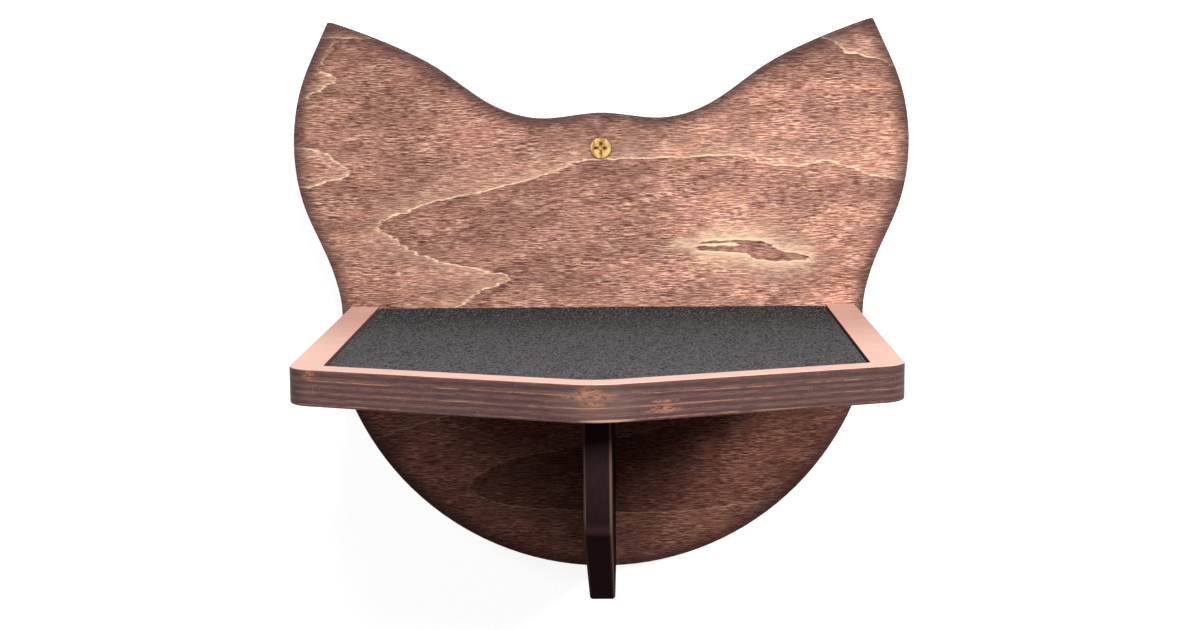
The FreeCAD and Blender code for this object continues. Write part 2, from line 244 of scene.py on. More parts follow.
rings, given, out = group("growth line", {"Inside": 0, "Width": 0.4, "Fade": 14.0},
                          ["Line", "Dark", "Pale"])
off = maths(rings, "ABSOLUTE", given["Inside"])
core = maths(rings, "MULTIPLY", given["Width"], LINE_CORE)
rings.links.new(ramp(rings, off, given["Width"], core), out["Line"])
within = maths(rings, "GREATER_THAN", given["Inside"], 0.0)
without = maths(rings, "SUBTRACT", 1.0, within)
reach = maths(rings, "DIVIDE", off, given["Fade"])
for name, steepness, side in (("Dark", 1.0, within), ("Pale", GLOW_STEEPNESS, without)):
    falling = maths(rings, "EXPONENT", maths(rings, "MULTIPLY", reach, -steepness))
    rings.links.new(maths(rings, "MULTIPLY", falling, side), out[name])
print("group:", rings.name)

# %% [markdown]
# ## Where a board is cut
# Plywood looks different on its edge than on its face, and the sander rubs the stain off
# where the two meet. How squarely a surface faces along the board's thickness tells them
# apart: about 1 on a face, 0 on the edge, and in between on the rounding. The dark rim that
# stain leaves round a face comes from ambient occlusion turned inwards, which measures how
# near the side of the board is from inside the wood.

# %% Build the edge groups
ROUNDING_FROM_EDGE, ROUNDING_FROM_FACE = (0.08, 0.4), (0.985, 0.85)
RIM_LEVELS = (0.0, 0.5)
RIM_RAYS = 8

cuts, given, out = group("board cuts", {"Facing": 1.0, "Face ends": 0.75, "Side starts": 0.35},
                         ["Side", "Rounding"])
facing = maths(cuts, "ABSOLUTE", given["Facing"])
cuts.links.new(ramp(cuts, facing, given["Face ends"], given["Side starts"]), out["Side"])
cuts.links.new(maths(cuts, "MULTIPLY", ramp(cuts, facing, *ROUNDING_FROM_EDGE),
                     ramp(cuts, facing, *ROUNDING_FROM_FACE)), out["Rounding"])
print("group:", cuts.name)

rims, given, out = group("stained rim", {"Reach": 0.010, "Strength": 1.0}, ["Rim"])
covered = add(rims, "ShaderNodeAmbientOcclusion", {"Distance": given["Reach"]}, inside=True,
              only_local=True, samples=RIM_RAYS)
closeness = maths(rims, "SUBTRACT", 1.0, covered.outputs["AO"])
rims.links.new(maths(rims, "MULTIPLY", ramp(rims, closeness, *RIM_LEVELS), given["Strength"]),
               out["Rim"])
print("group:", rims.name)

# %% [markdown]
# ## Plies
# The edge of birch plywood is a stack of thin veneers, turned a quarter at each layer. Those
# cut across their fibres drink stain and go almost black, and those cut along them stay a
# little lighter. Where two veneers meet, sanding bares a broken orange line, and in places
# small upright ticks, where a fibre end tore out. The layer that a spot is in follows from
# its depth in the board, wavered slightly because no veneer is quite flat. Noise with one
# very long side tells each layer how worn it is.

# %% Build the ply group
VENEER = 1.36
WAVE_SIZE, WAVE_REACH = (60.0, 30.0), 1.2
LIGHT_LEVELS_OF_PLY = (0.35, 0.65)
STREAK_SIZE, STREAK_LEVELS = (7.0, 0.45), (0.44, 0.60)
SEAM_EVERY, SEAM_LEVELS = 3.5, (0.055, 0.02)
WORN_SIZE, WORN_LEVELS, WORN_DEPTH = (22.0, 3.0), (0.46, 0.60), 5.0
TICK_SIZE, TICK_LEVELS, TICK_DEPTH = (0.45, 3.2), (0.66, 0.74), 9.0
TORN_SIZE, TORN_LEVELS, TORN_DEPTH = (12.0, 4.0), (0.50, 0.62), 15.0

plies, given, out = group("plies", {"Along": 0, "Depth": 0, "Veneer": VENEER},
                          ["Light ply", "Streaks", "Seams", "Ticks"])
where = (given["Along"], given["Depth"])
wave = maths(plies, "MULTIPLY", stretched(plies, (*where, 0.0), WAVE_SIZE, detail=1.0), WAVE_REACH)
level = maths(plies, "DIVIDE", maths(plies, "ADD", given["Depth"], wave), given["Veneer"])
plies.links.new(ramp(plies, maths(plies, "PINGPONG", level, 1.0), *LIGHT_LEVELS_OF_PLY),
                out["Light ply"])
plies.links.new(marks(plies, (*where, 0.0), STREAK_SIZE, STREAK_LEVELS, rough=0.7), out["Streaks"])
from_seam = maths(plies, "PINGPONG", maths(plies, "DIVIDE", level, SEAM_EVERY), 0.5)
worn = marks(plies, (*where, WORN_DEPTH), WORN_SIZE, WORN_LEVELS, detail=4.0, rough=0.75)
plies.links.new(maths(plies, "MULTIPLY", ramp(plies, from_seam, *SEAM_LEVELS), worn), out["Seams"])
tick = marks(plies, (*where, TICK_DEPTH), TICK_SIZE, TICK_LEVELS, detail=2.0, rough=0.5)
torn = marks(plies, (*where, TORN_DEPTH), TORN_SIZE, TORN_LEVELS, detail=2.0, rough=0.5)
plies.links.new(maths(plies, "MULTIPLY", tick, torn), out["Ticks"])
print("group:", plies.name)

# %% [markdown]
# ## Starting a material
# Each material begins with its shader and with the place of a spot in the part's own
# millimetres. Object coordinates serve for that, since every solid keeps the part's frame.

# %% Write the material helpers
def material(name, **shader):
    """A new material: its tree, its shader and the sockets of the place in millimetres."""
    made = bpy.data.materials.new(name)
    made.use_nodes = True
    tree = made.node_tree
    tree.nodes.clear()
    body = add(tree, "ShaderNodeBsdfPrincipled", {key.replace("_", " "): value
                                                  for key, value in shader.items()})
    surface = add(tree, "ShaderNodeOutputMaterial")
    tree.links.new(body.outputs[0], surface.inputs["Surface"])
    spot = add(tree, "ShaderNodeTexCoord")
    scaled = add(tree, "ShaderNodeVectorMath", {0: spot.outputs["Object"]}, operation="SCALE")
    scaled.inputs["Scale"].default_value = 1 / MM
    place = add(tree, "ShaderNodeSeparateXYZ", {"Vector": scaled.outputs[0]}).outputs
    normal = add(tree, "ShaderNodeSeparateXYZ", {"Vector": spot.outputs["Normal"]}).outputs
    return made, tree, body.inputs, place, normal


def bumped(tree, height, distance, strength=1.0):
    """A normal that is roughened by a height, over a distance in metres."""
    made = add(tree, "ShaderNodeBump", {"Height": height, "Distance": distance,
                                        "Strength": strength})
    return made.outputs["Normal"]


def finish_node(node, made):
    """Gives a material to a solid that arrives from the frame."""
    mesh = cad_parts[node]
    mesh.data.materials.clear()
    mesh.data.materials.append(made)


# %% [markdown]
# ## The plate's figure
# The plate's face has a figure of its own: a long tongue of dark wood that points left and
# runs right across the head, a short one that bites into it from the left, loops that run
# off at the ears and cheek, a small island on the right, and one more tongue under the
# shelf. A tongue's upper and lower lines are drawn as two curves, each a height for every
# place from left to right, which a Float Curve node holds. They cross just past the tip, so
# the distance between them turns negative there and the tongue ends.

# %% Draw the tongues
CHART_LEFT, CHART_WIDTH = -160.0, 320.0
CHART_FOOT, CHART_HEIGHT = -220.0, 300.0
TIP_REACH, TIP_SPREAD = 5.0, 9.0


def curve_over(tree, along, points):
    """The height of a line at each place along the board. Points are in millimetres."""
    share = maths(tree, "DIVIDE", maths(tree, "SUBTRACT", along, CHART_LEFT), CHART_WIDTH,
                  clamp=True)
    node = add(tree, "ShaderNodeFloatCurve", {"Value": share})
    curve = node.mapping.curves[0]
    ends = [curve.points[0], curve.points[1]]
    spots = [((x - CHART_LEFT) / CHART_WIDTH, (z - CHART_FOOT) / CHART_HEIGHT)
             for x, z in sorted(points)]
    ends[0].location, ends[1].location = spots[0], spots[-1]
    for spot in spots[1:-1]:
        curve.points.new(*spot)
    for point in curve.points:
        point.handle_type = "AUTO_CLAMPED"
    node.mapping.extend = "HORIZONTAL"
    node.mapping.update()
    height = maths(tree, "MULTIPLY", node.outputs[0], CHART_HEIGHT)
    return maths(tree, "ADD", height, CHART_FOOT)


def tongue(tree, along, height, upper, lower, tips):
    """How far a spot lies between two lines. tips names the ends where they meet."""
    lines = [sorted(upper), sorted(lower)]
    for end, step in (("left", -1), ("right", 1)):
        if end in tips:
            tip = lines[0][0] if end == "left" else lines[0][-1]
            for points, lean in zip(lines, (-1, 1)):
                points.append((tip[0] + step * TIP_REACH, tip[1] + lean * TIP_SPREAD))
                points.sort()
    above = maths(tree, "SUBTRACT", curve_over(tree, along, lines[0]), height)
    below = maths(tree, "SUBTRACT", height, curve_over(tree, along, lines[1]))
    return maths(tree, "MINIMUM", above, below)


BROW_START = (-125, -60)
BROW_LINE = [(-110, -39), (-106, -34), (-94, -30), (-84, -26), (-64, -22), (-43, -17),
             (-22, -11), (-9, -6), (25, -5), (69, -4), (79, -8), (98, -9), (108, -7),
             (123, -11), (133, -14), (150, -17)]
CHIN_LINE = [(-110, -39), (-102, -43), (-94, -49), (-80, -55), (-64, -58), (-53, -61), (-46, -63)]
BITE_LINE = [(-110, -100), (-68, -76), (-60, -70), (-51, -67), (-46, -63)]
CHEEK_TOP = [(-160, 2), (-147, 1), (-137, -1), (-130, -5), (-126, -8), (-122, -11)]
CHEEK_FOOT = [(-160, -18), (-146, -18), (-135, -16), (-127, -14), (-122, -11)]
EAR_SLOPE = [(-160, 18), (-145, 24), (-140, 27), (-138.5, 30), (-137, 38), (-134, 43), (-131.5, 47),
             (-130, 50), (-127, 54), (-124, 64), (-121, 78)]
EAR_LINE = [(-139, 38), (-136, 38), (-131, 36.5), (-127, 35)]
EAR_FOOT = [(-160, 18), (-145, 24), (-140, 27), (-134, 30), (-127, 35)]
TIP_LINE = [(70, 54), (106, 52), (111, 51), (118, 46), (127, 44), (135, 42), (139, 40), (145, 37)]
ISLAND_TOP = [(47, -50), (49, -46), (55, -45), (69, -45), (79, -46), (84, -49), (90, -51), (103, -54)]
ISLAND_FOOT = [(47, -50), (55, -51), (69, -52), (75, -55), (94, -56), (103, -54)]
SPLIT_TOP = [(45, -47.9), (55, -47.8), (58, -47), (64, -46.9), (66.5, -47.4)]
SPLIT_FOOT = [(45, -48.1), (55, -48.1), (58, -48), (64, -47.9), (66.5, -47.4)]
BELLY_TOP = [(-66, -167), (-64, -163), (-59, -160), (-46, -154), (-22, -149), (-6, -145),
             (21, -140), (60, -128)]
BELLY_FOOT = [(-66, -167), (-64, -171), (-56, -175), (-45, -177), (-28, -179), (17, -181),
              (44, -180), (66, -177), (90, -174), (120, -168)]
HIP_LINE = [(-120, -146), (-109, -142), (-100, -138), (-84, -134), (-60, -126)]
print("points in the longest line:", len(BROW_LINE))

# %% [markdown]
# ## Stained birch
# The plate and the shelf are cut from the same birch plywood, stained a reddish walnut, so
# one function colours the ground of both from the fibre group. An oval is a handy mask for
# a place that is paler or darker than the rest, such as a worn spot.

# %% Write the wood's ground
FIBRE_DARK, DARK_SHARE = srgb(82, 49, 42), 0.95
FIBRE_LIGHT, LIGHT_SHARE = srgb(255, 208, 180), 0.92
GROUND = srgb(176, 122, 106)
CLOUD_DARKEST, CLOUD_LIGHTEST = 0.68, 1.09


def wood_ground(tree, grain):
    """The colour of a stained face before its figure and edges."""
    tone = mixed(tree, maths(tree, "MULTIPLY", grain["Dark fibres"], DARK_SHARE), GROUND, FIBRE_DARK)
    tone = mixed(tree, maths(tree, "MULTIPLY", grain["Light fibres"], LIGHT_SHARE), tone, FIBRE_LIGHT)
    return shaded(tree, tone, ramp(tree, grain["Clouds"], 0.0, 1.0, CLOUD_DARKEST, CLOUD_LIGHTEST))


def oval(tree, across, up, middle, reach):
    """1 in the middle of an oval and 0 from its rim on."""
    offsets = [maths(tree, "DIVIDE", maths(tree, "SUBTRACT", value, centre), half)
               for value, centre, half in zip((across, up), middle, reach)]
    squares = [maths(tree, "MULTIPLY", offset, offset) for offset in offsets]
    return ramp(tree, maths(tree, "ADD", *squares), 1.0, 0.0)


# %% [markdown]
# ## The plate's ground
# Stained birch, a little paler on its right half, most of all in one wide patch. Below the
# shelf the colour is painted darker and redder, as painted shade for the shelf's shadow. The
# surface is matt, because the stain has no varnish over it.

# %% Colour the plate's ground
PALER_ENDS, PALER_LEVELS = (-150.0, 130.0), (0.90, 1.05)
PALE_PATCH, PALE_PATCH_GAIN = ((104, -48), (120, 110)), 1.24
SHELF_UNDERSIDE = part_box("shelf_board")[0].z / MM
SHADE_TINT_BELOW, SHADE_EDGE_BLUR = (0.95, 0.76, 0.74), 4.0

plate_wood, tree, shader, place, normal = material("plate_wood", Roughness=0.6, Specular_IOR_Level=0.06)
where = (place["X"], place["Z"], place["Y"])
grain = placed(tree, fibres, Along=place["X"], Across=place["Z"], Depth=place["Y"])
paler = ramp(tree, place["X"], *PALER_ENDS, *PALER_LEVELS)
# Paler in one wide patch on the right of the plate.
pale_patch = ramp(tree, oval(tree, place["X"], place["Z"], *PALE_PATCH), 0.0, 1.0, 1.0, PALE_PATCH_GAIN)
colour = shaded(tree, wood_ground(tree, grain), maths(tree, "MULTIPLY", paler, pale_patch))
# Painted shade: below the shelf's underside the colour is made darker and redder, for the shelf's
# shadow.
painted_shade_below = ramp(tree, place["Z"], SHELF_UNDERSIDE + SHADE_EDGE_BLUR, SHELF_UNDERSIDE)
colour = mixed(tree, painted_shade_below, colour, mixed(tree, 1.0, colour, SHADE_TINT_BELOW, blend="MULTIPLY"))
# The painted shade below the shelf starts at this height.
print(f"the stain is deeper below {SHELF_UNDERSIDE:.1f} mm")

# %% [markdown]
# ## Ragged lines
# Where a tongue's side runs across the fibres its line is ragged. So the place is pushed
# along the fibres by a noise that changes from one fibre to the next, and up and down by a
# slower one, before the tongues are measured. Each figure is then a distance that is
# positive where its dark wood lies.

# %% Measure the figures
HOP_SIZE, HOP_REACH = (30.0, 1.3), 16.0
DRIFT_SIZE, DRIFT_REACH = (9.0, 5.0), 3.0


def pushed(tree, value, push, reach):
    """A coordinate pushed to and fro by noise."""
    swing = maths(tree, "SUBTRACT", push, 0.5)
    return maths(tree, "ADD", value, maths(tree, "MULTIPLY", swing, reach))


def pale_side(inside):
    """The same lines, with their dark wood outside."""
    return maths(tree, "MULTIPLY", inside, -1.0)


hop = stretched(tree, where, HOP_SIZE, detail=4.0, rough=0.75)
drift = stretched(tree, where, DRIFT_SIZE, detail=2.0)
along = pushed(tree, place["X"], hop, HOP_REACH)
height = pushed(tree, place["Z"], drift, DRIFT_REACH)

bite = tongue(tree, along, height, CHIN_LINE, BITE_LINE, ["right"])
under_brow = maths(tree, "SUBTRACT", curve_over(tree, along, [BROW_START] + BROW_LINE), height)
head = maths(tree, "MINIMUM", under_brow, pale_side(bite))
cheek = pale_side(tongue(tree, along, height, CHEEK_TOP, CHEEK_FOOT, ["right"]))
over_ear = maths(tree, "SUBTRACT", height, curve_over(tree, along, EAR_SLOPE))
ear_loop = tongue(tree, along, height, EAR_LINE, EAR_FOOT, ["right"])
ear = pale_side(maths(tree, "MAXIMUM", over_ear, ear_loop))
tip = maths(tree, "SUBTRACT", curve_over(tree, along, TIP_LINE), height)
split = tongue(tree, along, height, SPLIT_TOP, SPLIT_FOOT, ["right"])
island = tongue(tree, along, height, ISLAND_TOP, ISLAND_FOOT, ["left", "right"])
island = maths(tree, "MINIMUM", island, pale_side(split))
belly = tongue(tree, along, height, BELLY_TOP, BELLY_FOOT, ["left"])
hip = maths(tree, "SUBTRACT", curve_over(tree, along, HIP_LINE), height)
print("the lines hop by up to", HOP_REACH / 2, "mm")

# %% [markdown]
# ## The halo
# The wood round the island took hardly any stain and glows like cream. The glow is the pale
# side of the island's own growth line, kept within an oval, with one more pale spot at the
# island's left point. Streaks break it up, and the dark fibres show through.

# %% Paint the halo
CREAM, HALO_SHARE = srgb(255, 222, 184), 0.95
HALO, HALO_FADE = ((74, -50), (56, 26)), 13.0
HALO_SPOT, SPOT_SHARE = ((43, -47), (13, 5)), 0.7
HALO_STREAK_SIZE, HALO_STREAK_LEVELS, HALO_LEAST = (26.0, 1.6), (0.30, 0.58), 0.35
HALO_ON_FIBRES = 0.55

halo = placed(tree, rings, Inside=island, Fade=HALO_FADE)["Pale"]
halo = maths(tree, "MULTIPLY", halo, oval(tree, place["X"], place["Z"], *HALO))
pale_spot = maths(tree, "MULTIPLY", oval(tree, place["X"], place["Z"], *HALO_SPOT), SPOT_SHARE)
outside = maths(tree, "LESS_THAN", island, 0.0)
halo = maths(tree, "MAXIMUM", halo, maths(tree, "MULTIPLY", pale_spot, outside))
streaky = marks(tree, where, HALO_STREAK_SIZE, HALO_STREAK_LEVELS, to=(HALO_LEAST, 1.0), rough=0.7)
halo = maths(tree, "MULTIPLY", halo, streaky)
halo = maths(tree, "MULTIPLY", halo, ramp(tree, grain["Dark fibres"], 0.0, 1.0, 1.0, HALO_ON_FIBRES))
colour = mixed(tree, maths(tree, "MULTIPLY", halo, HALO_SHARE, clamp=True), colour, CREAM)
print("the halo fades over", HALO_FADE, "mm")

# %% [markdown]
# ## The figure's colours
# Each figure gets its line, its dark side and its pale side from the growth line group, with
# a width and a fade of its own. Below the shelf the painted shade tones the line and pale side
# down. The pale lines are only on the front, since the back is another sheet of veneer.

# %% Paint the figures
LINE_PALE = srgb(255, 226, 184)
FIGURE_DARK = srgb(88, 55, 50)
BELLY_DARK_AND_SHADE = srgb(52, 30, 27)
BELLY_ENDS, BELLY_DEPTHS_AND_SHADE = (-60.0, 50.0), (0.52, 0.30)
FRONT_FACING = (-0.5, -0.9)
FLICKER_SIZE, FLICKER_LEVELS, FLICKER_LEAST = (5.0, 3.0), (0.35, 0.6), 0.6
CLEAR_ABOVE, CLEAR_IN_PAINTED_SHADE = 0.25, 0.05
LINES_IN_PAINTED_SHADE = 0.4

# The belly's dark side is its figure, deepened as painted shade, most of all at the left.
belly_depth_and_shade = ramp(tree, place["X"], *BELLY_ENDS, *BELLY_DEPTHS_AND_SHADE)
FIGURES = [(head, 0.48, 16.0, 0.27, FIGURE_DARK), (cheek, 0.50, 8.0, 0.21, FIGURE_DARK),
           (ear, 0.55, 8.0, 0.27, FIGURE_DARK), (tip, 0.45, 9.0, 0.45, FIGURE_DARK),
           (island, 0.55, 8.0, 0.48, FIGURE_DARK), (belly, 0.40, 30.0, belly_depth_and_shade, BELLY_DARK_AND_SHADE),
           (hip, 0.40, 8.0, 0.30, FIGURE_DARK)]
front = ramp(tree, normal["Y"], *FRONT_FACING)
flicker = marks(tree, where, FLICKER_SIZE, FLICKER_LEVELS, to=(FLICKER_LEAST, 1.0))
# Below the shelf, in the painted shade, the pale sides and the lines are toned down.
clear = ramp(tree, painted_shade_below, 0.0, 1.0, CLEAR_ABOVE, CLEAR_IN_PAINTED_SHADE)
lines_seen = maths(tree, "MULTIPLY", flicker, ramp(tree, painted_shade_below, 0.0, 1.0, 1.0, LINES_IN_PAINTED_SHADE))
for inside, width, fade, depth, deepest in FIGURES:
    ring = placed(tree, rings, Inside=inside, Width=width, Fade=fade)
    colour = mixed(tree, maths(tree, "MULTIPLY", ring["Dark"], depth), colour, deepest)
    colour = mixed(tree, maths(tree, "MULTIPLY", ring["Pale"], clear), colour, FIBRE_LIGHT)
    bright = maths(tree, "MULTIPLY", ring["Line"], lines_seen)
    colour = mixed(tree, maths(tree, "MULTIPLY", bright, front), colour, LINE_PALE)
print("figures on the plate:", len(FIGURES))

# %% [markdown]
# ## The plate's edges
# The rim is darker, where stain ran over the edge. The wood close round the wall screw is
# painted darker as painted shade, the countersink's shadow. The edge itself is a stack of
# plies. Its rounding is so small that the cut starts almost at the face.

# %% Finish the plate
RIM_STAIN_AND_SCREW_SHADE, RIM_SHARE, RIM_REACH = srgb(72, 49, 51), 0.85, 0.011
SCREW_SHADE = ((0, 0), (6.8, 6.8))
PLATE_FACE_ENDS, PLATE_SIDE_STARTS = 0.98, 0.8
PLY_DARK, PLY_LIGHT, PLY_SEAMS = srgb(52, 38, 38), srgb(84, 62, 58), 0.4
PLATE_BUMP = 0.12 * MM

# Painted shade: a dark disc round the wall screw, for the countersink's shadow.
painted_screw_shade = maths(tree, "MULTIPLY", oval(tree, place["X"], place["Z"], *SCREW_SHADE), front)
colour = mixed(tree, painted_screw_shade, colour, RIM_STAIN_AND_SCREW_SHADE)
rim = placed(tree, rims, Reach=RIM_REACH)["Rim"]
colour = mixed(tree, maths(tree, "MULTIPLY", rim, RIM_SHARE), colour, RIM_STAIN_AND_SCREW_SHADE)
stack = placed(tree, plies, Along=maths(tree, "ADD", place["X"], place["Z"]), Depth=place["Y"])
edge = mixed(tree, stack["Light ply"], PLY_DARK, PLY_LIGHT)
edge = mixed(tree, maths(tree, "MULTIPLY", stack["Seams"], PLY_SEAMS), edge, FIBRE_LIGHT)
cut = placed(tree, cuts, Facing=normal["Y"], Face_ends=PLATE_FACE_ENDS, Side_starts=PLATE_SIDE_STARTS)
colour = mixed(tree, cut["Side"], colour, edge)
tree.links.new(colour, shader["Base Color"])
tree.links.new(bumped(tree, grain["Height"], PLATE_BUMP), shader["Normal"])
finish_node("back_plate", plate_wood)
print("finished:", plate_wood.name)

# %% [markdown]
# ## The shelf board
# The same stained birch, seen mostly from its edge. Everything that faces up is painted paler,
# as painted light, most of all at the front, and darker at the back by the plate, as painted
# shade. The underside keeps its stain.

# %% Colour the shelf's faces
BORDER_REAR_SHADED = srgb(184, 143, 131)
BORDER_FRONT_LIT = srgb(220, 179, 165)
BORDER_SHADE_ENDS = (-48.0, -168.0)
TOP_LIT_FACING, TOP_LIT_SHARE = (0.0, 0.5), 0.85
SHELF_FIBRE_LENGTH = 14.0

shelf_wood, tree, shader, place, normal = material("shelf_wood", Roughness=0.5, Specular_IOR_Level=0.12)
grain = placed(tree, fibres, Along=place["X"], Across=place["Y"], Depth=place["Z"],
               Length=SHELF_FIBRE_LENGTH)
# Painted light on the faces that look up, with painted shade darkening it towards the plate.
painted_top_light = mixed(tree, ramp(tree, place["Y"], *BORDER_SHADE_ENDS), BORDER_REAR_SHADED, BORDER_FRONT_LIT)
lit_top = ramp(tree, normal["Z"], *TOP_LIT_FACING, 0.0, TOP_LIT_SHARE)
colour = mixed(tree, lit_top, wood_ground(tree, grain), painted_top_light)
print("sanded at the front:", [round(part, 2) for part in BORDER_FRONT_LIT])

# %% [markdown]
# ## The shelf's edge
# The edge shows the plies with their seams and ticks. Hands and paws have rubbed the stain
# off round the tip, in patches that noise breaks up, and the sharp arris at the bottom of
# the tip is bare. A worn patch is given by its middle and its reach, left to right and up.

# %% Colour the shelf's edge
EDGE_DARK, EDGE_LIGHT = srgb(100, 74, 72), srgb(126, 94, 86)
EDGE_STREAK, STREAK_SHARE = srgb(78, 56, 58), 0.7
BARE_ORANGE, SEAM_SHARE, TICK_SHARE = srgb(204, 140, 108), 0.85, 0.6
RUBBED = srgb(214, 172, 152)
HANDLED, HANDLED_SHARE = ((0, -84), (24, 9)), 0.12
WORN_PATCHES = [((-2, -80.3), (6.5, 3.4)), ((-3, -81.8), (14, 2.0)), ((-1, -84.8), (6, 1.3)),
                ((27, -84.8), (7, 0.9)), ((26, -88), (9, 1.8)), ((-114, -79.0), (4, 2.0))]
BROKEN_SIZE, BROKEN_LEVELS, PATCH_SHARE = (2.4, 0.7), (0.42, 0.58), 0.85
BARE_ARRIS = ((4.5, -91.6), (13, 1.2))
UNDER_BORDER, UNDER_SHARE = ((0, -78.6), (1, 1.1)), 0.35
EDGE_SHADING_ENDS, EDGE_SHADING_LEVELS = (-120.0, 30.0), (1.12, 0.88)
SHELF_BUMP = 0.05 * MM

stack = placed(tree, plies, Along=place["X"], Depth=place["Z"])
edge = mixed(tree, stack["Light ply"], EDGE_DARK, EDGE_LIGHT)
edge = mixed(tree, maths(tree, "MULTIPLY", stack["Streaks"], STREAK_SHARE), edge, EDGE_STREAK)
edge = mixed(tree, maths(tree, "MULTIPLY", stack["Seams"], SEAM_SHARE), edge, BARE_ORANGE)
edge = mixed(tree, maths(tree, "MULTIPLY", stack["Ticks"], TICK_SHARE), edge, BARE_ORANGE)
handled = maths(tree, "MULTIPLY", oval(tree, place["X"], place["Z"], *HANDLED), HANDLED_SHARE)
edge = mixed(tree, handled, edge, RUBBED)
broken = marks(tree, (place["X"], place["Z"], place["Y"]), BROKEN_SIZE, BROKEN_LEVELS, rough=0.7)
broken = maths(tree, "MULTIPLY", broken, PATCH_SHARE)
for middle, reach in WORN_PATCHES:
    patch = maths(tree, "MULTIPLY", oval(tree, place["X"], place["Z"], middle, reach), broken)
    edge = mixed(tree, patch, edge, BARE_ORANGE)
edge = mixed(tree, oval(tree, place["X"], place["Z"], *BARE_ARRIS), edge, RUBBED)
under_border = maths(tree, "MULTIPLY", oval(tree, 0.0, place["Z"], *UNDER_BORDER), UNDER_SHARE)
edge = mixed(tree, under_border, edge, EDGE_STREAK)
# Painted light and shade: the edge is painted lighter at the left and darker at the right.
edge = shaded(tree, edge, ramp(tree, place["X"], *EDGE_SHADING_ENDS, *EDGE_SHADING_LEVELS))
colour = mixed(tree, placed(tree, cuts, Facing=normal["Z"])["Side"], colour, edge)
tree.links.new(colour, shader["Base Color"])
tree.links.new(bumped(tree, grain["Height"], SHELF_BUMP), shader["Normal"])
finish_node("shelf_board", shelf_wood)
print("worn patches:", len(WORN_PATCHES))

# %% [markdown]
# ## The rib
# The rib is stained almost black. Its faces are plain and its rounded arrises are worn to brown.
# The slope of its foot, which faces down, is painted lighter as painted light. Painted light
# makes the upper part, in the shelf's shadow, paler, and painted shade the lower part a little
# darker. Hardly any light is reflected by it, so its shader has no shine.

# %% Make the rib's wood
RIB_GROUND = srgb(60, 42, 45)
RIB_FIBRE, FACE_FIBRES, EDGE_FIBRES = srgb(110, 80, 72), 0.4, 0.12
RIB_WORN, RIB_WEAR = srgb(190, 152, 130), 0.6
RIB_SLOPE_LIGHT, LIT_SLOPE_FACING, LIT_SLOPE_SHARE = srgb(132, 92, 97), (-0.3, -0.8), 0.85
RIB_LIGHT_ENDS, RIB_LIGHT_LEVELS = (-150.0, -105.0), (0.9, 1.7)
RIB_BUMP = 0.1 * MM

rib_wood, tree, shader, place, normal = material("rib_wood", Roughness=0.6, Specular_IOR_Level=0.0)
grain = placed(tree, fibres, Along=place["Y"], Across=place["Z"], Depth=place["X"])
cut = placed(tree, cuts, Facing=normal["X"])
stack = placed(tree, plies, Along=maths(tree, "ADD", place["Y"], place["Z"]), Depth=place["X"])
face = mixed(tree, maths(tree, "MULTIPLY", grain["Light fibres"], FACE_FIBRES), RIB_GROUND, RIB_FIBRE)
edge = mixed(tree, maths(tree, "MULTIPLY", stack["Streaks"], EDGE_FIBRES), RIB_GROUND, RIB_FIBRE)
colour = mixed(tree, cut["Side"], face, edge)
# Painted light and shade: paler at the top, under the shelf, and a little darker lower down.
colour = shaded(tree, colour, ramp(tree, place["Z"], *RIB_LIGHT_ENDS, *RIB_LIGHT_LEVELS))
# Painted light on the downward slope of the foot.
colour = mixed(tree, ramp(tree, normal["Z"], *LIT_SLOPE_FACING, 0.0, LIT_SLOPE_SHARE), colour, RIB_SLOPE_LIGHT)
colour = mixed(tree, maths(tree, "MULTIPLY", cut["Rounding"], RIB_WEAR), colour, RIB_WORN)
tree.links.new(colour, shader["Base Color"])
tree.links.new(bumped(tree, grain["Height"], RIB_BUMP), shader["Normal"])
finish_node("support_rib", rib_wood)
print("finished:", rib_wood.name)

# %% [markdown]
# ## Metal
# The wall screw is passivated in yellow: zinc under a thin film that tints it gold. The wood
# screws are plain zinc. Both vary a little in tint and polish. The cross recess is painted a
# deeper colour, as painted shade, where ambient occlusion finds the metal hidden.

# %% Make the metals
PATCH_SIZE, PATCH_LEVELS = (1.5, 1.5), (0.3, 0.7)
POLISH_LEVELS, POLISH = (0.2, 0.8), (0.28, 0.42)
RECESS_SHADE_REACH, RECESS_SHADE_LEVELS, RECESS_SHADE_RAYS = 1.2 * MM, (0.85, 0.45), 8


def metal(name, recess_shade, dark, light):
    """A plated metal whose tint and polish vary a little, with painted shade in its recess."""
    made, tree, shader, place, normal = material(name, Metallic=1.0)
    patch = stretched(tree, (place["X"], place["Y"], place["Z"]), PATCH_SIZE)
    # Painted shade in the recess, where ambient occlusion finds the metal hidden.
    hidden = add(tree, "ShaderNodeAmbientOcclusion", {"Distance": RECESS_SHADE_REACH}, only_local=True,
                 samples=RECESS_SHADE_RAYS)
    painted_recess_shade = ramp(tree, hidden.outputs["AO"], *RECESS_SHADE_LEVELS)
    plating = mixed(tree, ramp(tree, patch, *PATCH_LEVELS), dark, light)
    tree.links.new(mixed(tree, painted_recess_shade, plating, recess_shade), shader["Base Color"])
    tree.links.new(ramp(tree, patch, *POLISH_LEVELS, *POLISH), shader["Roughness"])
    return made


yellow_zinc = metal("yellow_zinc", srgb(128, 66, 20), srgb(176, 122, 58), srgb(238, 208, 140))
zinc = metal("zinc", srgb(90, 91, 93), srgb(168, 170, 172), srgb(214, 216, 218))
finish_node("wall_screw", yellow_zinc)
wood_screws = [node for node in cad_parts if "_screw_" in node]
for node in wood_screws:
    finish_node(node, zinc)
print("wood screws:", len(wood_screws))

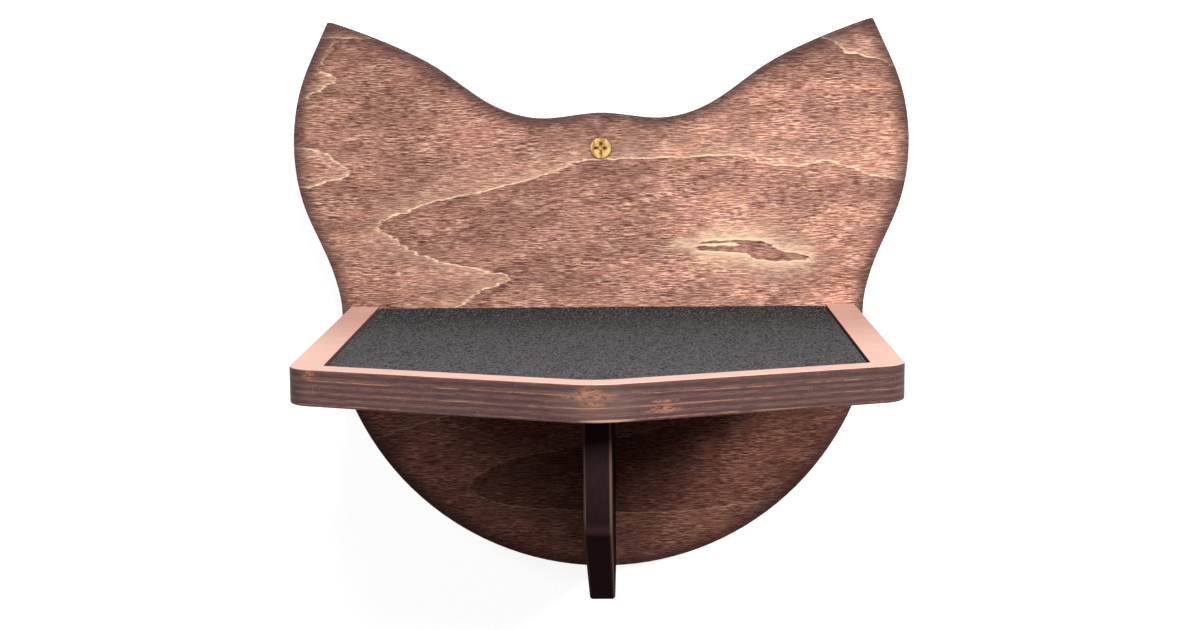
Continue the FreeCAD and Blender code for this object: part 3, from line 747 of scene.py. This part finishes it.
# %% [markdown]
# ## Nylon and hook tape
# The plug is grey nylon, barely mottled. The tape under the mat carries hooks in rows, too
# small to model one by one: two zigzag waves multiplied give a knob at each place of a grid,
# which sets both the colour and the bump.

# %% Make the plastics
NYLON_DARK, NYLON_LIGHT, NYLON_SIZE = srgb(150, 152, 155), srgb(172, 174, 176), (2.0, 2.0)
HOOK_DARK, HOOK_LIGHT = srgb(22, 22, 23), srgb(58, 58, 60)
HOOK_PITCH, HOOK_LEVELS, HOOK_HEIGHT = 1.4, (0.0, 0.3), 0.6 * MM

nylon, tree, shader, place, normal = material("nylon", Roughness=0.45)
mottle = marks(tree, (place["X"], place["Y"], place["Z"]), NYLON_SIZE, PATCH_LEVELS, detail=2.0)
tree.links.new(mixed(tree, mottle, NYLON_DARK, NYLON_LIGHT), shader["Base Color"])
finish_node("wall_plug", nylon)

hooks, tree, shader, place, normal = material("hooks", Roughness=0.7)
knob = maths(tree, "MULTIPLY", maths(tree, "PINGPONG", place["X"], HOOK_PITCH / 2),
             maths(tree, "PINGPONG", place["Y"], HOOK_PITCH / 2))
tree.links.new(mixed(tree, ramp(tree, knob, *HOOK_LEVELS), HOOK_DARK, HOOK_LIGHT), shader["Base Color"])
tree.links.new(bumped(tree, knob, HOOK_HEIGHT), shader["Normal"])
for node in ("hook_strip_left", "hook_strip_right"):
    finish_node(node, hooks)
print("hooks stand every", HOOK_PITCH, "mm")

# %% [markdown]
# ## The mat's outline
# A loose pad of thick needled felt, cut to the recess's outline: straight at the back and
# sides, with a front of two slopes that meet in a round tip. The sizes come from the solid
# that the felt replaces. One function gives the front edge, also for an outline set in by
# the same distance all round.

# %% Measure the mat
FRONT_SLOPE = math.radians(19.9)
TIP_ROUND = 28.0 * MM
EDGE_INSET = 0.9 * MM

low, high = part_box("shelf_mat")
half_width = high.x
thick = high.z - low.z
sharp_tip = low.y - TIP_ROUND * (1 / math.cos(FRONT_SLOPE) - 1)


def front_edge(x, inset):
    """How far forward the mat's front edge lies at x, for its outline set in all round."""
    tip = sharp_tip + inset / math.cos(FRONT_SLOPE)
    radius = TIP_ROUND - inset
    if abs(x) > radius * math.sin(FRONT_SLOPE):
        return tip + abs(x) * math.tan(FRONT_SLOPE)
    return tip + radius / math.cos(FRONT_SLOPE) - math.sqrt(radius ** 2 - x ** 2)


print(f"mat: {2 * half_width / MM:.1f} mm wide, {thick / MM:.1f} mm thick")

# %% [markdown]
# ## The mat's mesh
# The top is a grid of columns that each run from the back to the front edge, fine enough to
# carry the felt's unevenness. The cut edge, which felt never keeps sharp, is a set of rings
# that start at the grid's rim and go outwards and down, and the last one is filled as the
# underside. Each ring's way out is the mean of the ways out of its two neighbouring sides.

# %% Make the mat's mesh
COLUMNS, ROWS = 150, 130
EDGE_PROFILE = [(0.9, 3.4), (0.45, 3.36), (0.15, 3.1), (0.02, 2.5), (0.0, 1.0), (0.2, 0.25), (0.7, 0.0)]
PROFILE_HEIGHT = EDGE_PROFILE[0][1]

mesh = bmesh.new()
grid = []
inner = half_width - EDGE_INSET
rear = high.y - EDGE_INSET
for column in range(COLUMNS + 1):
    x = inner * (2 * column / COLUMNS - 1)
    front = front_edge(x, EDGE_INSET)
    grid.append([mesh.verts.new((x, rear + (front - rear) * row / ROWS, high.z))
                 for row in range(ROWS + 1)])
for left, right in zip(grid, grid[1:]):
    for row in range(ROWS):
        mesh.faces.new((left[row], right[row], right[row + 1], left[row + 1]))

loop = [column[0] for column in grid] + grid[-1][1:-1]
loop += [column[-1] for column in reversed(grid)] + list(reversed(grid[0][1:-1]))
ways = []
for step, vertex in enumerate(loop):
    after = loop[(step + 1) % len(loop)].co - vertex.co
    before = vertex.co - loop[step - 1].co
    way = Vector((after.y, -after.x)).normalized() + Vector((before.y, -before.x)).normalized()
    ways.append(-way.normalized())
edge_rings = [loop]
for inset, rise in EDGE_PROFILE[1:]:
    push = EDGE_INSET - inset * MM
    level = low.z + rise * thick / PROFILE_HEIGHT
    edge_rings.append([mesh.verts.new((*(vertex.co.xy + way * push), level))
                       for vertex, way in zip(loop, ways)])
for upper, lower in zip(edge_rings, edge_rings[1:]):
    for step in range(len(loop)):
        after = (step + 1) % len(loop)
        mesh.faces.new((upper[step], upper[after], lower[after], lower[step]))
mesh.faces.new(edge_rings[-1])
bmesh.ops.recalc_face_normals(mesh, faces=mesh.faces)
print("rings round the mat's edge:", len(edge_rings))

# %% [markdown]
# ## Loft
# Needled felt is never flat: it lifts and sinks by a few tenths of a millimetre, in soft
# swells with smaller tufts on them. Noise moves the upper half of the mesh by that much,
# and never above the solid that the felt stands for.

# %% Loft the felt
LOFT = 0.22 * MM
SWELL, SWELL_SHARE = 7.0, 0.6
TUFT, TUFT_SHARE = 2.2, 0.4
SETTLED = 0.9

for vertex in mesh.verts:
    if vertex.co.z > low.z + thick / 2:
        here = vertex.co / MM
        lift = noise.noise(here / SWELL) * SWELL_SHARE + noise.noise(here / TUFT) * TUFT_SHARE
        vertex.co.z += (lift - SETTLED) * LOFT
mat_mesh = bpy.data.meshes.new("felt_mat")
mesh.to_mesh(mat_mesh)
mesh.free()
felt_mat = bpy.data.objects.new("felt_mat", mat_mesh)
scene.collection.objects.link(felt_mat)
for face in mat_mesh.polygons:
    face.use_smooth = True
print("points in the mat:", len(mat_mesh.vertices))

# %% [markdown]
# ## Felt
# Charcoal felt is a mix of black and grey fibres, matted into a fine nap with slower tufts
# over it. It is matt through and through, so its shader has no sheen and next to no shine.
# Towards the plate it is painted darker as painted shade, and pale fibre ends stand out as specks.

# %% Make the felt
FELT_DARK = srgb(16, 16, 17)
FELT_LIGHT = srgb(96, 93, 94)
FELT_SPECK, SPECK_SHARE = srgb(150, 148, 148), 0.7
NAP_SIZE, NAP_LEVELS, NAP_HEIGHT = (1.0, 1.6), (0.36, 0.60), 0.6 * MM
TUFT_SIZE, TUFT_LEVELS, TUFT_TINT = (7.0, 4.0), (0.35, 0.7), 0.25
SPECK_SIZE, SPECK_LEVELS = (0.7, 1.5), (0.57, 0.64)
FELT_SHADE_ENDS, FELT_SHADE_LEVELS = (-215.0, 0.0), (1.0, 0.55)
REAR_SHADE_ENDS, REAR_SHADE_LEVELS = (-120.0, -15.0), (1.0, 0.42)
SPECK_ENDS, SPECKS_SEEN = (-95.0, -15.0), (0.25, 0.55)

felt, tree, shader, place, normal = material("felt", Roughness=0.95, Specular_IOR_Level=0.02)
where = (place["X"], place["Y"], place["Z"])
nap = stretched(tree, where, NAP_SIZE, detail=4.0, rough=0.75)
tufts = maths(tree, "MULTIPLY", marks(tree, where, TUFT_SIZE, TUFT_LEVELS), TUFT_TINT)
colour = mixed(tree, ramp(tree, nap, *NAP_LEVELS), FELT_DARK, FELT_LIGHT)
colour = mixed(tree, tufts, colour, FELT_LIGHT)
# Painted shade: darker from the front towards the plate, most of all near it.
depth = add(tree, "ShaderNodeMapRange", {"Value": place["Y"], "From Min": FELT_SHADE_ENDS[0],
            "From Max": FELT_SHADE_ENDS[1], "To Min": FELT_SHADE_LEVELS[0], "To Max": FELT_SHADE_LEVELS[1]})
colour = shaded(tree, colour, depth.outputs["Result"])
colour = shaded(tree, colour, ramp(tree, place["Y"], *REAR_SHADE_ENDS, *REAR_SHADE_LEVELS))
specks = marks(tree, where, SPECK_SIZE, SPECK_LEVELS, detail=1.0, rough=0.5)
specks = maths(tree, "MULTIPLY", specks, ramp(tree, place["Y"], *SPECK_ENDS, *SPECKS_SEEN))
colour = mixed(tree, maths(tree, "MULTIPLY", specks, SPECK_SHARE), colour, FELT_SPECK)
tree.links.new(colour, shader["Base Color"])
tree.links.new(bumped(tree, nap, NAP_HEIGHT), shader["Normal"])
mat_mesh.materials.append(felt)
print("finished:", felt.name)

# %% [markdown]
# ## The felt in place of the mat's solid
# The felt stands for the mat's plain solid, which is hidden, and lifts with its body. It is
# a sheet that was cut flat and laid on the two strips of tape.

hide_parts("shelf_mat")
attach(felt_mat, "mat")

# %% [markdown]
# ## The wall and the floor
# The shelf hangs on a white wall. In the photograph the wall is burnt out to white, with a
# soft shadow at the lower left. The wall here shows only to the camera and only from the
# front, so that the back of the plate can be seen from behind, and it takes shadows as real
# plaster would. The floor lies far below and does the same.

# %% Make the wall and the floor
BACKDROP_REACH = 3.0
FLOOR_DROP = 0.55
WALL_GAP = 0.2 * MM
PAINT, PAINT_GLOW = 0.5, 0.9
ORANGE_PEEL_SCALE, ORANGE_PEEL_HEIGHT = 260.0, 0.4 * MM


def backdrop_material(name):
    """Plain pale paint that only the camera sees, and only from its front."""
    made = bpy.data.materials.new(name)
    made.use_nodes = True
    tree = made.node_tree
    tree.nodes.clear()
    spot = add(tree, "ShaderNodeTexCoord")
    orange_peel = add(tree, "ShaderNodeTexNoise", {"Vector": spot.outputs["Object"],
                      "Scale": ORANGE_PEEL_SCALE, "Detail": 3.0})
    matte = add(tree, "ShaderNodeBsdfDiffuse", {"Color": (PAINT, PAINT, PAINT, 1),
                "Normal": bumped(tree, orange_peel.outputs["Fac"], ORANGE_PEEL_HEIGHT)})
    lit = add(tree, "ShaderNodeEmission", {"Strength": PAINT_GLOW})
    both = add(tree, "ShaderNodeAddShader", {0: matte.outputs[0], 1: lit.outputs[0]})
    clear = add(tree, "ShaderNodeBsdfTransparent")
    rays = add(tree, "ShaderNodeLightPath")
    side = add(tree, "ShaderNodeNewGeometry")
    shown = maths(tree, "MULTIPLY", rays.outputs["Is Camera Ray"],
                  maths(tree, "SUBTRACT", 1.0, side.outputs["Backfacing"]))
    picked = add(tree, "ShaderNodeMixShader", {0: shown, 1: clear.outputs[0], 2: both.outputs[0]})
    add(tree, "ShaderNodeOutputMaterial", {"Surface": picked.outputs[0]})
    return made


def flat_sheet(name, corners, made):
    """A flat backdrop through four corners, facing the way that their order turns."""
    mesh = bpy.data.meshes.new(name)
    mesh.from_pydata(corners, [], [(0, 1, 2, 3)])
    mesh.materials.append(made)
    sheet = bpy.data.objects.new(name, mesh)
    scene.collection.objects.link(sheet)
    print("backdrop:", name, "in", made.name)


LEFT_END, RIGHT_END = -BACKDROP_REACH, BACKDROP_REACH
flat_sheet("wall", [(LEFT_END, WALL_GAP, -FLOOR_DROP), (RIGHT_END, WALL_GAP, -FLOOR_DROP),
                    (RIGHT_END, WALL_GAP, BACKDROP_REACH), (LEFT_END, WALL_GAP, BACKDROP_REACH)],
           backdrop_material("wall_paint"))
flat_sheet("floor", [(LEFT_END, -BACKDROP_REACH, -FLOOR_DROP), (RIGHT_END, -BACKDROP_REACH, -FLOOR_DROP),
                     (RIGHT_END, BACKDROP_REACH, -FLOOR_DROP), (LEFT_END, BACKDROP_REACH, -FLOOR_DROP)],
           backdrop_material("floor_paint"))

# %% [markdown]
# ## Lamps
# The key light is a large soft lamp high up in front and to the right, so the shelf's top is
# bright, the belly of the plate lies in the shelf's shadow, and the wall's shadow falls to
# the lower left. A smaller one from the right front opens that shadow, and a weak one from
# the left keeps the left ear and cheek from going dull.

# %% Set the lamps
LAMPS = [("key", (0.5, -1.4, 2.25), (0, -0.1, -0.08), 0.9, 87.0),
         ("side", (0.99, -1.58, 0.69), (0, -0.1, -0.1), 0.4, 20.0),
         ("left", (-1.2, -0.82, 0.86), (0, -0.1, -0.1), 0.5, 6.5)]

for name, place, aim, size, power in LAMPS:
    data = bpy.data.lights.new(name, "AREA")
    data.shape = "SQUARE"
    data.size = size
    data.energy = power
    lamp = bpy.data.objects.new(name, data)
    lamp.location = place
    lamp.rotation_euler = (Vector(aim) - Vector(place)).to_track_quat("-Z", "Y").to_euler()
    scene.collection.objects.link(lamp)
    print(f"lamp {name}: {power} W")

# %% [markdown]
# ## The world
# The world is plain white to the camera and in reflections. To every other ray it is a faint
# even glow, so that it opens the deepest shadows without adding to the light on the object.

# %% Make the world
WORLD_GLOW = 0.04

world = bpy.data.worlds.new("studio")
scene.world = world
world.use_nodes = True
tree = world.node_tree
tree.nodes.clear()
rays = add(tree, "ShaderNodeLightPath").outputs
seen = maths(tree, "MAXIMUM", rays["Is Camera Ray"],
             maths(tree, "MAXIMUM", rays["Is Glossy Ray"], rays["Is Transmission Ray"]))
glow = maths(tree, "ADD", maths(tree, "MULTIPLY", seen, 1.0 - WORLD_GLOW), WORLD_GLOW)
sky = add(tree, "ShaderNodeBackground", {"Color": (1, 1, 1, 1), "Strength": glow})
add(tree, "ShaderNodeOutputWorld", {"Surface": sky.outputs[0]})
scene.view_settings.view_transform = "Standard"
print("world:", world.name, "glows by", WORLD_GLOW)
